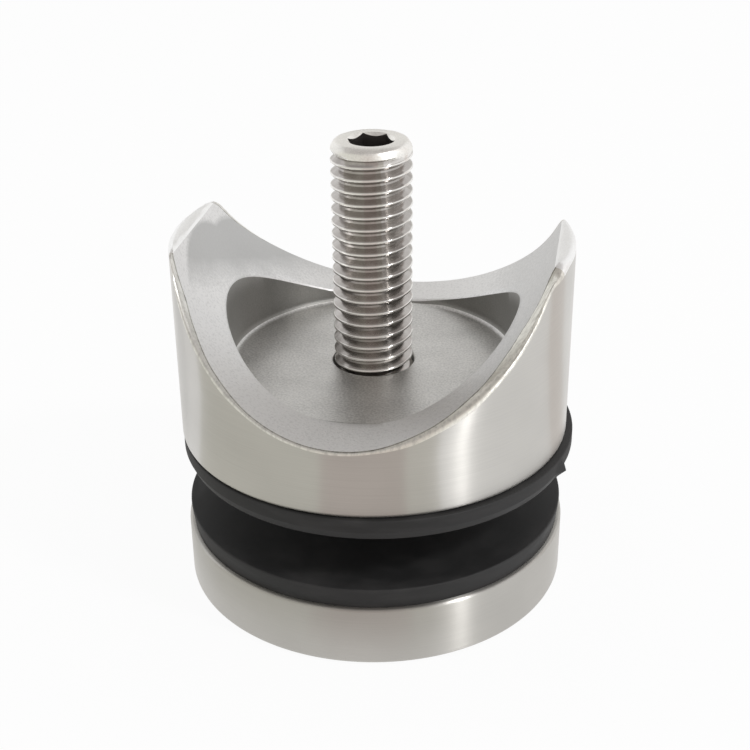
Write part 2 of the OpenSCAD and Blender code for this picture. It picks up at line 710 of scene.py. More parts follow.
@dataclass(frozen=True)
class RolledSteel:
    """The burnished steel of a rolled thread, darker in its roots and flanks as painted shade.

    Args:
        name: The material's name.
        crest: Colour of the crests.
        root: Colour of the roots and flanks, darkened as painted shade.
        crest_radius: Radius from which the crests are bright, in millimetres.
        painted_shade_radius: Radius up to which the roots and flanks carry painted shade, in
            millimetres.
        roughness: Mean roughness.
        stretch: How far the rolling marks stretch a highlight across them.
        marks: Cells of the marks round, along and out from the axis.
        stain: Stains in one millimetre.
    """

    name: str
    crest: Colour = (0.88, 0.86, 0.83)
    root: Colour = (0.43, 0.405, 0.385)
    crest_radius: float = 3.98
    painted_shade_radius: float = 3.88
    roughness: float = 0.15
    stretch: float = 0.9
    marks: Grid = (3.0, 14.0, 14.0)
    stain: float = 0.8

    def material(self) -> Material:
        """Builds the finish as a node material.

        Returns:
            The material.
        """
        bench = NodeBench(self.name)
        radius = bench.sum("MULTIPLY", bench.spot()[3], 1.0 / MM)
        # Painted shade: dark roots and flanks, light crests.
        rise = bench.spread(radius, 0.0, 1.0, self.painted_shade_radius, self.crest_radius)
        stain = bench.noise(None, self.stain / MM, 3.0)
        grey = bench.sum("ADD", rise, bench.spread(stain, -0.08, 0.16))
        colour = bench.ramp(grey, (0.0, self.root), (1.0, self.crest))
        marks = bench.noise(bench.turned_coordinates(*self.marks), 1.0, 3.0)
        roughness = bench.spread(marks, self.roughness - 0.04, self.roughness + 0.06)
        relief = bench.bump(marks, 0.004, 0.3)
        return bench.surface(colour, roughness, relief, **bench.marked_round(self.stretch))


@dataclass(frozen=True)
class MouldedRubber:
    """Moulded rubber: near black, matt, with a fine pebble and rubbed dust.

    Args:
        name: The material's name.
        colour: Its colour.
        dust: The colour of rubbed and dusty places.
        roughness: Mean roughness.
        pebble: Pebbles in one millimetre.
        rubs: Cells of the rubbed places round, along and out from the axis.
    """

    name: str
    colour: Colour = (0.015, 0.0148, 0.0152)
    dust: Colour = (0.028, 0.027, 0.027)
    roughness: float = 0.6
    pebble: float = 4.0
    rubs: Grid = (5.0, 1.2, 0.5)

    def material(self) -> Material:
        """Builds the finish as a node material.

        Returns:
            The material.
        """
        bench = NodeBench(self.name)
        pebble = bench.noise(None, self.pebble / MM, 3.0)
        rubbed = bench.noise(bench.turned_coordinates(*self.rubs), 1.0, 4.0)
        colour = bench.ramp(rubbed, (0.42, self.colour), (0.72, self.dust))
        roughness = bench.spread(rubbed, self.roughness - 0.05, self.roughness + 0.12)
        relief = bench.bump(pebble, 0.012, 0.5)
        return bench.surface(colour, roughness, relief, Specular_IOR_Level=0.4)


@dataclass(frozen=True)
class MouldedNylon:
    """Black nylon with a faint sheen, lifted to dark grey as painted light for the shaded groove
    between the gaskets.

    Args:
        name: The material's name.
        colour: Its colour, lifted above black as painted light.
        roughness: Mean roughness.
        grain: Grains in one millimetre.
    """

    name: str
    # Dark grey in place of black: painted light in the groove between the gaskets.
    colour: Colour = (0.16, 0.16, 0.162)
    roughness: float = 0.42
    grain: float = 2.5

    def material(self) -> Material:
        """Builds the finish as a node material.

        Returns:
            The material.
        """
        bench = NodeBench(self.name)
        skin = bench.noise(None, self.grain / MM, 2.0)
        colour = bench.ramp(
            skin, (0.35, tinted(self.colour, 0.85)), (0.65, tinted(self.colour, 1.2))
        )
        roughness = bench.spread(skin, self.roughness - 0.04, self.roughness + 0.06)
        return bench.surface(colour, roughness, bench.bump(skin, 0.006, 0.4))


# Threads


class ThreadSide(Enum):
    """Which of the two mating threads is cut, and its play on the radius."""

    OUTER = 0.0
    INNER = 0.07


@dataclass(frozen=True)
class ThreadForm:
    """A right-hand metric thread, in millimetres.

    Args:
        pitch: Height of one turn.
        crest: Radius of the outer thread's crest.
        root: Radius of its root.
        start: Height at which the middle of a root crosses the +X direction.
        plain_end: Length at each end over which an outer thread is left uncut.
    """

    pitch: float = 1.25
    crest: float = 4.0
    root: float = 3.37
    start: float = 0.012
    plain_end: float = 0.9

    def turn_points(self, side: ThreadSide) -> list[Point2]:
        """Gives one turn's profile.

        Args:
            side: The outer thread, or the inner one that clears it.

        Returns:
            Points as (radius, height above the turn's start).
        """
        rise = self.crest - self.root
        shape = (
            (0.08, 0.0), (0.40, 0.889), (0.43, 0.972), (0.455, 1.0),
            (0.545, 1.0), (0.57, 0.972), (0.60, 0.889), (0.92, 0.0),
        )
        return [
            (self.root + rise * share + side.value, self.pitch * part)
            for part, share in shape
        ]

    def cut(
        self, work: Workpiece, low: float, high: float,
        limit: Callable[[float], float], side: ThreadSide,
    ) -> None:
        """Adds a threaded surface to a workpiece.

        Args:
            work: The workpiece.
            low: Height at which the thread ends below.
            high: Height at which it ends above.
            limit: Gives the bounding radius at a height, as of a chamfer.
            side: The outer or the inner thread.
        """
        shape = self.turn_points(side)
        keep = min if side is ThreadSide.OUTER else max
        count = work.segments
        first = math.floor((low - self.start) / self.pitch) - 1
        last = math.ceil((high - self.start) / self.pitch) + 1
        columns: list[list[Vert]] = []
        for column in range((last - first) * count + 1):
            turn = work.angle(column)
            lift = self.start + self.pitch * (first + column / count)
            line = []
            for r, z in shape:
                height = min(max(lift + z, low), high)
                if side is ThreadSide.OUTER:
                    inside = min(height - low, high - height) - self.plain_end
                    r = max(r, self.crest - max(0.0, inside))
                r = keep(r, limit(height))
                line.append(work.mesh.verts.new(
                    (r * math.cos(turn) * MM, r * math.sin(turn) * MM, height * MM)
                ))
            columns.append(line)
        for column in range(len(columns) - 1):
            here, after = columns[column], columns[column + 1]
            quads = list(zip(here, after, after[1:], here[1:]))
            if column + 1 + count < len(columns):
                quads.append((
                    here[-1], after[-1],
                    columns[column + 1 + count][0], columns[column + count][0],
                ))
            for quad in quads:
                if len({tuple(round(c, 7) for c in point.co) for point in quad}) > 2:
                    work.mesh.faces.new(quad)
        loose = [point for point in work.mesh.verts if not point.link_faces]
        bmesh.ops.delete(work.mesh, geom=loose, context="VERTS")


# The fitting's pieces


@dataclass
class FrontCap:
    """The turned cap in front of the glass, with its threaded boss.

    Args:
        edge: Radius of the outer face's edge.
        rim: Rounding of the rim that the gasket sits on.
        disc: Thickness of the disc.
        boss: Radius of the boss inside the sleeve.
        boss_root: Fillet at the boss's foot.
        boss_end: Rounding of the boss's end.
        ledge: Distance from the boss to the line that keeps the gasket face flat.
        middle: Share of the outer face's radius that one fan of faces fills.
        hole_floor: Height of the blind hole's floor.
        mouth: Chamfer of the hole's mouth.
        thread: The thread in the blind hole.
        node: The CAD node that it stands for.
    """

    edge: float = 0.6
    rim: float = 0.3
    disc: float = 6.5
    boss: float = 6.5
    boss_root: float = 0.2
    boss_end: float = 0.3
    ledge: float = 4.0
    middle: float = 0.8
    hole_floor: float = 1.8
    mouth: float = 0.5
    thread: ThreadForm = field(default_factory=ThreadForm)
    node: str = "front_cap"

    def build(self) -> Piece:
        """Builds the cap's mesh.

        Returns:
            The dressed cap.
        """
        radius, bottom, top = span(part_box(self.node))
        work = Workpiece(144)
        corners = [
            Corner(self.middle * radius, bottom),
            Corner(radius, bottom, self.edge),
            Corner(radius, self.disc, self.rim),
            Corner(self.boss + self.ledge, self.disc),
            Corner(self.boss, self.disc, self.boss_root),
            Corner(self.boss, top, self.boss_end),
            Corner(self.thread.crest + self.mouth, top),
        ]
        rings = work.turn_profile(rounded(corners, False, 6), False)
        work.close_ring(rings[0], bottom)
        crest, mouth = self.thread.crest, self.mouth

        def limit(height: float) -> float:
            """Gives the countersink's radius at a height."""
            return crest + mouth - (top - height)

        self.thread.cut(work, self.hole_floor, top, limit, ThreadSide.INNER)
        floor_ring = [
            point for point in work.mesh.verts
            if abs(point.co.z - self.hole_floor * MM) < 1e-7
            and point.co.xy.length < (crest + 0.2) * MM
        ]
        floor_ring = self._one_per_angle(floor_ring, work)
        work.close_ring(floor_ring, self.hole_floor)
        return self.dress(work)

    @staticmethod
    def _one_per_angle(points: Sequence[Vert], work: Workpiece) -> list[Vert]:
        """Picks the outermost of the points at each angle.

        Args:
            points: The points to pick from.
            work: The workpiece that they are on.

        Returns:
            The picked points, in order round the axis.
        """
        picked: dict[int, Vert] = {}
        for point in points:
            turn = math.atan2(point.co.y, point.co.x) / TURN * work.segments
            column = round(turn) % work.segments
            kept = picked.get(column)
            if kept is None or point.co.xy.length > kept.co.xy.length:
                picked[column] = point
        return [picked[column] for column in sorted(picked)]

    def dress(self, work: Workpiece) -> Piece:
        """Gives the cap its finish and its place on its body.

        Args:
            work: The cap's workpiece.

        Returns:
            The dressed cap.
        """
        # A darker copy of the body's satin steel: painted shade on the cap.
        steel = BrushedSteel("cap_satin_steel_painted_shade", (0.53, 0.515, 0.485), 0.33)
        made = work.release("turned_cap", [steel.material()])
        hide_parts(self.node)
        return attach(made, "cap_side")


@dataclass
class CapGasket:
    """The rubber ring between the cap and the glass.

    Args:
        foot: Radius where it meets the cap.
        hole: Radius of its hole.
        soft: Rounding of its edges at the glass.
        cap_soft: Rounding of its edges at the cap.
        node: The CAD node that it stands for.
    """

    foot: float = 19.5
    hole: float = 8.15
    soft: float = 0.16
    cap_soft: float = 0.1
    node: str = "cap_gasket"

    def build(self) -> Piece:
        """Builds the gasket's mesh.

        Returns:
            The dressed gasket.
        """
        outer, bottom, top = span(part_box(self.node))
        work = Workpiece(192)
        corners = [
            Corner(self.hole, bottom, self.cap_soft),
            Corner(self.foot, bottom, self.cap_soft),
            Corner(outer, top, self.soft),
            Corner(self.hole, top, self.soft),
        ]
        work.turn_profile(rounded(corners, True), True)
        finish = MouldedRubber("rubber_cap_side")
        made = work.release("gasket_cap_side", [finish.material()])
        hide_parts(self.node)
        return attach(made, "cap_side")


@dataclass
class TubeGasket:
    """The rubber ring between the glass and the saddle body.

    It sits a little off the axis and keeps a small moulding burr.

    Args:
        face: Radius of the face that touches the glass.
        taper: Height of the taper under the rim.
        hole: Radius of its hole.
        offset: How far it sits off the axis, along +X.
        soft: Rounding of its outer edges.
        rim_soft: Rounding where the taper meets the rim.
        hole_soft: Rounding of its hole's edges.
        burr_turn: Direction of the burr, in degrees from +X.
        burr_reach: How far the burr stands out.
        burr_wide: How far the burr's root spreads round the rim.
        burr_high: How far it spreads up and down the rim.
        node: The CAD node that it stands for.
    """

    face: float = 19.9
    taper: float = 0.9
    hole: float = 5.0
    offset: float = 0.4
    soft: float = 0.14
    rim_soft: float = 0.2
    hole_soft: float = 0.1
    burr_turn: float = -17.0
    burr_reach: float = 0.7
    burr_wide: float = 0.42
    burr_high: float = 0.35
    node: str = "tube_gasket"

    def build(self) -> Piece:
        """Builds the gasket's mesh.

        Returns:
            The dressed gasket.
        """
        rim, bottom, top = span(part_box(self.node))
        work = Workpiece(240)
        corners = [
            Corner(self.hole, bottom, self.hole_soft),
            Corner(self.face, bottom, self.soft),
            Corner(rim, bottom + self.taper, self.rim_soft),
            Corner(rim, top, self.soft),
            Corner(self.hole, top, self.hole_soft),
        ]
        work.turn_profile(rounded(corners, True), True, (self.offset, 0.0))
        self._pull_burr(work, bottom + self.taper)
        finish = MouldedRubber("rubber_tube_side")
        made = work.release("gasket_tube_side", [finish.material()])
        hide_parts(self.node)
        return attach(made, "clamp_side")

    def _pull_burr(self, work: Workpiece, height: float) -> None:
        """Draws a small hook of rubber out of the rim.

        Args:
            work: The gasket's workpiece.
            height: Height of the burr's root, in millimetres.
        """
        way = math.radians(self.burr_turn)
        for point in work.mesh.verts:
            spot = point.co / MM
            turn = math.atan2(spot.y, spot.x - self.offset)
            side = (turn - way) * self.face
            rise = spot.z - height
            if math.hypot(spot.x - self.offset, spot.y) < self.face - 0.1:
                continue
            pull = math.exp(-((side / self.burr_wide) ** 2) - ((rise / self.burr_high) ** 2))
            out = Vector((math.cos(way + 0.5), math.sin(way + 0.5), -0.25))
            point.co += out * (self.burr_reach * pull * MM)


@dataclass
class GlassSleeve:
    """The nylon sleeve that keeps the glass off the boss.

    Args:
        edge: Rounding of its outer edges.
        bore_edge: Rounding of its bore's edges.
        bore: Radius of its bore.
        node: The CAD node that it stands for.
    """

    edge: float = 0.25
    bore_edge: float = 0.15
    bore: float = 6.6
    node: str = "glass_sleeve"

    def build(self) -> Piece:
        """Builds the sleeve's mesh.

        Returns:
            The dressed sleeve.
        """
        outer, bottom, top = span(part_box(self.node))
        work = Workpiece(144)
        corners = [
            Corner(self.bore, bottom, self.bore_edge),
            Corner(outer, bottom, self.edge),
            Corner(outer, top, self.edge),
            Corner(self.bore, top, self.bore_edge),
        ]
        work.turn_profile(rounded(corners, True, 3), True)
        # The sleeve's nylon carries painted light in the shaded groove.
        made = work.release("nylon_sleeve", [MouldedNylon("nylon_black").material()])
        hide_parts(self.node)
        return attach(made, "cap_side")


class SaddleZone(Enum):
    """The saddle body's differently finished surfaces, and one line of painted shade."""

    WALL = 0
    SADDLE = 1
    EDGE = 2
    POCKET_WALL = 3
    POCKET_FLOOR = 4
    FLAT = 5
    LIP = 6
    # Painted shade: the dark line in the crease where the broken edge starts.
    PAINTED_SHADE_LINE = 7


Outline = list[tuple[Point2, SaddleZone]]


@dataclass
class SaddleBody:
    """The body that seats on the tube: saddle cut, pocket and bore.

    Args:
        tube: Radius of the saddle cut.
        valley: Height of the saddle's lowest line.
        pocket: Radius of the round pocket.
        pocket_floor: Height of its floor.
        fillet: Fillet at the foot of its wall.
        bore: Radius of the clearance bore.
        bore_mouth: Chamfer at the bore's lower mouth.
        foot: Rounding of the underside's edge.
        edge_flat: Width of the broken edge on the horns' flats.
        edge_ridge: Its width at the right flat's front corner, which was struck.
        edge_corner: Its width at the flats' other corners.
        edge_horn: Its width beside the flats.
        edge_side: Its width at the sides.
        edge_front: Its width at the valley's ends.
        edge_left: Share of those widths on the left horn.
        edge_back: Share of those widths behind both horns.
        edge_drop: How far the broken edge falls below the sharp one.
        edge_fall: How much further it falls for each millimetre of its width.
        edge_round: Rounding where the broken edge meets the wall.
        ridge_soft: Softness of the ridge between a flat and the saddle.
        flat_end: Where the right flat ends at its struck corner, in degrees.
        corner_end: Where the flats end at their other corners.
        brim: Width of the small bevel round the pocket's rim.
        painted_shade_line: Width of the dark line of painted shade where the broken edge starts.
        ease_in: Length of the edge's rounding before the wall, in its own sizes.
        ease_out: Length of that rounding down the wall.
        node: The CAD node that it stands for.
    """

    tube: float = 19.05
    valley: float = 23.9
    pocket: float = 14.75
    pocket_floor: float = 23.75
    fillet: float = 0.8
    bore: float = 4.2
    bore_mouth: float = 0.6
    foot: float = 0.5
    edge_flat: float = 0.55
    edge_ridge: float = 1.35
    edge_corner: float = 0.45
    edge_horn: float = 2.0
    edge_side: float = 1.15
    edge_front: float = 0.26
    edge_left: float = 0.5
    edge_back: float = 0.25
    edge_drop: float = 0.05
    edge_fall: float = 0.4
    edge_round: float = 0.5
    ridge_soft: float = 1.4
    flat_end: float = 17.0
    corner_end: float = 21.0
    brim: float = 0.13
    painted_shade_line: float = 0.12
    ease_in: float = 1.6
    ease_out: float = 1.4
    node: str = "saddle_body"

    def saddle_height(self, r: float, turn: float) -> float:
        """Gives the saddle surface's height, up to the horns' flats.

        Args:
            r: Radius from the axis.
            turn: Angle from +X, in radians.

        Returns:
            The height in millimetres.
        """
        across = min(abs(r * math.cos(turn)), self.tube)
        height = self.valley + self.tube - math.sqrt(self.tube**2 - across**2)
        near = max(0.0, self.ridge_soft - abs(height - self.top))
        return min(height, self.top) - near * near / (4.0 * self.ridge_soft)

    @staticmethod
    def away(turn: float) -> float:
        """Gives how far an angle lies from the nearer horn, in degrees."""
        return math.degrees(math.asin(min(1.0, abs(math.sin(turn)))))

    def edge_width(self, turn: float) -> float:
        """Gives the broken edge's width.

        Args:
            turn: Angle from +X, in radians.

        Returns:
            The width in millimetres.
        """
        away = self.away(turn)
        part = 1.0 if math.cos(turn) > 0.0 else self.edge_left
        if math.sin(turn) > 0.0:
            part = self.edge_back
        ridge = self.edge_ridge if part == 1.0 else self.edge_corner
        stops = (
            (0.0, self.edge_flat), (10.0, self.edge_flat), (22.0, ridge),
            (31.0, self.edge_horn * part), (36.0, self.edge_horn * part * 0.92),
            (50.0, self.edge_side * part), (66.0, 0.55 * self.edge_side * part),
            (82.0, self.edge_front), (90.0, self.edge_front),
        )
        for (a, wide_a), (b, wide_b) in zip(stops, stops[1:]):
            if away <= b:
                share = (away - a) / (b - a)
                share = share * share * (3.0 - 2.0 * share)
                return max(self.edge_front, wide_a + (wide_b - wide_a) * share)
        return self.edge_front

    def rim(self, turn: float) -> tuple[float, float, float]:
        """Finds where the pocket meets the saddle surface.

        Args:
            turn: Angle from +X, in radians.

        Returns:
            The rim's radius, its height and the width of its bevel.
        """
        centre_r = self.pocket - self.fillet
        centre_z = self.pocket_floor + self.fillet
        if self.saddle_height(self.pocket, turn) >= centre_z:
            radius = self.pocket
        else:
            near, far = centre_r, self.pocket
            for _ in range(40):
                radius = (near + far) / 2.0
                arc = centre_z - math.sqrt(
                    max(self.fillet**2 - (radius - centre_r) ** 2, 0.0)
                )
                if arc < self.saddle_height(radius, turn):
                    near = radius
                else:
                    far = radius
        height = self.saddle_height(radius, turn)
        return radius, height, min(self.brim, 0.35 * (height - self.pocket_floor))

    def section(self, turn: float) -> Outline:
        """Gives the body's section at an angle, as one closed outline.

        Args:
            turn: Angle from +X, in radians.

        Returns:
            Points with the zone of the span that follows each one.
        """
        zone = SaddleZone
        centre_r = self.pocket - self.fillet
        centre_z = self.pocket_floor + self.fillet
        rim_r, rim_z, brim = self.rim(turn)
        cut = rim_z - brim
        quarter = math.pi / 2.0
        if cut < centre_z:
            quarter = math.acos(min(1.0, (centre_z - cut) / self.fillet))
        line: Outline = [
            ((self.bore + self.bore_mouth, self.bottom), zone.WALL),
            ((self.bore, self.bottom + self.bore_mouth), zone.WALL),
            ((self.bore, self.pocket_floor - 0.1), zone.WALL),
            ((self.bore + 0.1, self.pocket_floor), zone.POCKET_FLOOR),
        ]
        for share in (0.15, 0.5, 0.85):
            r = self.bore + (centre_r - self.bore) * share
            line.append(((r, self.pocket_floor), zone.POCKET_FLOOR))
        for step in range(7):
            lean = quarter * step / 6.0
            spot = (
                centre_r + self.fillet * math.sin(lean),
                centre_z - self.fillet * math.cos(lean),
            )
            line.append((spot, zone.POCKET_FLOOR if step < 3 else zone.POCKET_WALL))
        base_r, base_z = line[-1][0]
        for share in (0.33, 0.67, 1.0):
            spot = (base_r, base_z + (cut - base_z) * share)
            line.append((spot, zone.POCKET_WALL if share < 1.0 else zone.SADDLE))
        return line + self._upper_section(turn, rim_r + brim)

    def _upper_section(self, turn: float, start: float) -> Outline:
        """Gives the section from the pocket's rim to the underside.

        Args:
            turn: Angle from +X, in radians.
            start: Radius of the pocket's rim.

        Returns:
            Points with the zone of the span that follows each one.
        """
        zone = SaddleZone
        wide = self.edge_width(turn)
        inner = self.radius - wide
        ridge = math.sqrt(self.tube**2 - (self.tube + self.valley - self.top) ** 2)
        lean = abs(math.cos(turn))
        corner = min(inner, ridge / lean) if lean > 1e-6 else inner
        line: Outline = []
        for step in range(13):
            r = corner - (corner - start) * (1.0 - step / 12.0) ** 2
            last = step == 12
            line.append(
                ((r, self.saddle_height(r, turn)), zone.FLAT if last else zone.SADDLE)
            )
        for share in (0.15, 0.4):
            r = corner + (inner - corner) * share
            line.append(((r, self.saddle_height(r, turn)), zone.FLAT))
        height = self.saddle_height(inner, turn)
        # The broken edge starts with a dark line of painted shade, except on the flats.
        land, edge, painted_shade_line = zone.EDGE, zone.LIP, zone.PAINTED_SHADE_LINE
        struck = math.cos(turn) > 0.0 > math.sin(turn)
        if self.away(turn) < (self.flat_end if struck else self.corner_end):
            land = edge = painted_shade_line = zone.FLAT
        line.append(((inner, height), painted_shade_line))
        sharp = self.saddle_height(self.radius, turn)
        lip = sharp - self.edge_drop - self.edge_fall * wide
        fall = (lip - height) * self.painted_shade_line / wide
        line.append(((inner + self.painted_shade_line, height + fall), land))
        along = math.hypot(wide, lip - height)
        ease = min(self.edge_round, 0.45 * wide)
        entry = (
            self.radius - wide * ease * self.ease_in / along,
            lip - (lip - height) * ease * self.ease_in / along,
        )
        leave = (self.radius, lip - ease * self.ease_out)
        for step in range(6):
            t = step / 5.0
            a, b, c = (1 - t) ** 2, 2 * t * (1 - t), t * t
            spot = (
                a * entry[0] + b * self.radius + c * leave[0],
                a * entry[1] + b * lip + c * leave[1],
            )
            line.append((spot, edge if step < 5 else zone.WALL))
        for share in (0.3, 0.65):
            z = leave[1] + (self.bottom + self.foot - leave[1]) * share
            line.append(((self.radius, z), zone.WALL))
        for step in range(6):
            lean = math.pi / 2.0 * step / 5.0
            spot = (
                self.radius - self.foot + self.foot * math.cos(lean),
                self.bottom + self.foot - self.foot * math.sin(lean),
            )
            line.append((spot, zone.WALL))
        return line

    def build(self) -> Piece:
        """Builds the body's mesh.

        Returns:
            The dressed body.
        """
        self.radius, self.bottom, self.top = span(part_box(self.node))
        work = Workpiece(288)
        columns = [self.section(work.angle(c)) for c in range(work.segments)]
        spans = len(columns[0])
        rings = []
        for place in range(spans):
            points = iter([column[place][0] for column in columns])
            rings.append(work.ring(lambda _turn, line=points: next(line)))
        for place in range(spans):
            finishes = [column[place][1].value for column in columns]
            work.bridge(rings[place], rings[(place + 1) % spans], finishes)
        return self.dress(work)

    def dress(self, work: Workpiece) -> Piece:
        """Gives each zone its finish and puts the body on its joint.

        Args:
            work: The body's workpiece.

        Returns:
            The dressed body.
        """
        zone = SaddleZone
        finishes = {
            zone.WALL: BrushedSteel("body_satin_steel"),
            zone.SADDLE: SaddleSteel("saddle_milled_steel"),
            zone.EDGE: GroundSteel("edge_ground_steel"),
            zone.LIP: GroundSteel(
                "edge_burnished_steel", (0.84, 0.82, 0.76), (0.84, 0.83, 0.79), 0.32, 0.22
            ),
            # The pocket wall's dark colour is painted shade in the recess; its grain and mottle are
            # the steel's own.
            zone.POCKET_WALL: BlastedSteel(
                "pocket_wall_painted_shade_steel", (0.285, 0.28, 0.265), mottle=0.12
            ),
            zone.POCKET_FLOOR: BlastedSteel(
                "pocket_floor_steel", (0.66, 0.655, 0.64), 0.42, 4.5, 0.045, 0.2
            ),
            zone.FLAT: BlastedSteel(
                "horn_flat_steel", (0.94, 0.94, 0.935), 0.38, mottle=0.05
            ),
            # Dark steel for the line where the broken edge starts: painted shade in the crease.
            zone.PAINTED_SHADE_LINE: GroundSteel(
                "edge_painted_shade_steel", (0.36, 0.35, 0.31), (0.5, 0.49, 0.45), 0.4, 0.4
            ),
        }
        ordered = [finishes[each].material() for each in zone]
        made = work.release("saddle_seat", ordered, 30.0)
        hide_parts(self.node)
        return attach(made, "saddle")


@dataclass
class ThreadedStud:
    """The threaded stud with its hex socket.

    Args:
        thread: The thread along its whole length.
        end_radius: Radius of each end face.
        end_rise: Height over which an end rounds out to the full radius.
        across_flats: Width of the hex socket.
        socket_depth: Depth of the hex socket.
        socket_mouth: Radius of the chamfer at the socket's mouth.
        drill: Radius of the drilled hole at the socket's foot.
        dressed: Height of the plain end, which has its own finish.
        struck: Place of the nick that a tool left, its height below the end.
        nick_size: How far the nick reaches.
        nick_depth: How far it pushes the crest in.
        nick_lift: How far it pushes the crest up.
        node: The CAD node that it stands for.
    """

    thread: ThreadForm = field(default_factory=ThreadForm)
    end_radius: float = 3.25
    end_rise: float = 1.15
    across_flats: float = 4.0
    socket_depth: float = 4.5
    socket_mouth: float = 2.34
    drill: float = 1.7
    dressed: float = 0.95
    struck: tuple[float, float, float] = (-3.95, -0.7, 6.3)
    nick_size: float = 0.3
    nick_depth: float = 0.28
    nick_lift: float = 0.12
    node: str = "threaded_stud"

    def hexagon(self, turn: float) -> float:
        """Gives the socket's radius at an angle; its corners point along X."""
        part = turn % (math.pi / 3.0) - math.pi / 6.0
        return self.across_flats / 2.0 / math.cos(part)

    def build(self) -> Piece:
        """Builds the stud's mesh.

        Returns:
            The dressed stud.
        """
        _, bottom, top = span(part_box(self.node))
        work = Workpiece(144)

        def limit(height: float) -> float:
            """Gives the rounded ends' radius.

            Args:
                height: Height in millimetres.

            Returns:
                The largest radius that the end leaves there.
            """
            reach = min(1.0, min(height - bottom, top - height) / self.end_rise)
            swell = math.sqrt(max(0.0, 1.0 - (1.0 - reach) ** 2))
            return self.end_radius + (self.thread.crest - self.end_radius) * swell

        self.thread.cut(work, bottom, top, limit, ThreadSide.OUTER)
        for face in work.mesh.faces:
            if face.calc_center_median().z > (top - self.dressed) * MM:
                face.material_index = 2
        work.close_ring(work.ring(lambda _turn: (self.end_radius, bottom)), bottom, 2)
        hexagon, floor = self.hexagon, top - self.socket_depth
        rings = [work.ring(place) for place in (
            lambda _turn: (self.end_radius, top),
            lambda _turn: (self.socket_mouth, top),
            lambda turn: (hexagon(turn), top - 0.9 * (self.socket_mouth - hexagon(turn))),
            lambda turn: (hexagon(turn), floor),
            lambda _turn: (self.drill, floor - 0.1),
        )]
        for first, second, finish in zip(rings, rings[1:], (2, 2, 1, 1)):
            work.bridge(first, second, finish)
        work.close_ring(rings[-1], floor - 1.0, 1)
        self._nick(work, top)
        finishes = (
            # The thread's dark roots and flanks are painted shade.
            RolledSteel("thread_steel_painted_root_shade"),
            # The socket's near-black colour is painted shade in the hex hole; its grain is the
            # steel's own.
            BlastedSteel("socket_painted_shade_steel", (0.12, 0.11, 0.105)),
            BlastedSteel("stud_end_steel", (0.92, 0.905, 0.87), 0.4, depth=0.008),
        )
        made = work.release("set_screw", [each.material() for each in finishes], 35.0)
        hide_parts(self.node)
        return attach(made, "stud")

    def _nick(self, work: Workpiece, top: float) -> None:
        """Dents one crest where a tool struck it.

        Args:
            work: The stud's workpiece.
            top: Height of the stud's end, in millimetres.
        """
        strike = Vector((*self.struck[:2], top - self.struck[2]))
        for point in work.mesh.verts:
            spot = point.co / MM
            near = math.exp(-(((spot - strike).length / self.nick_size) ** 2))
            if near > 0.02 and spot.xy.length > 3.6:
                push = Vector((spot.x, spot.y, 0.0)).normalized()
                point.co -= push * (self.nick_depth * near * MM)
                point.co.z += self.nick_lift * near * MM


# Studio


@dataclass(frozen=True)
class Panel:
    """One curved card of the light tent.

    Args:
        start: Where it starts, in degrees to the right of the camera.
        end: Where it ends.
        level: Its brightness.
        tint: Its colour.
        low: Lowest height in metres; at 0 it also lies on the floor.
        high: Its highest height in metres.
    """

    start: float
    end: float
    level: float
    tint: Colour = (1.0, 1.0, 1.0)
    low: float = 0.0
    high: float = 0.5


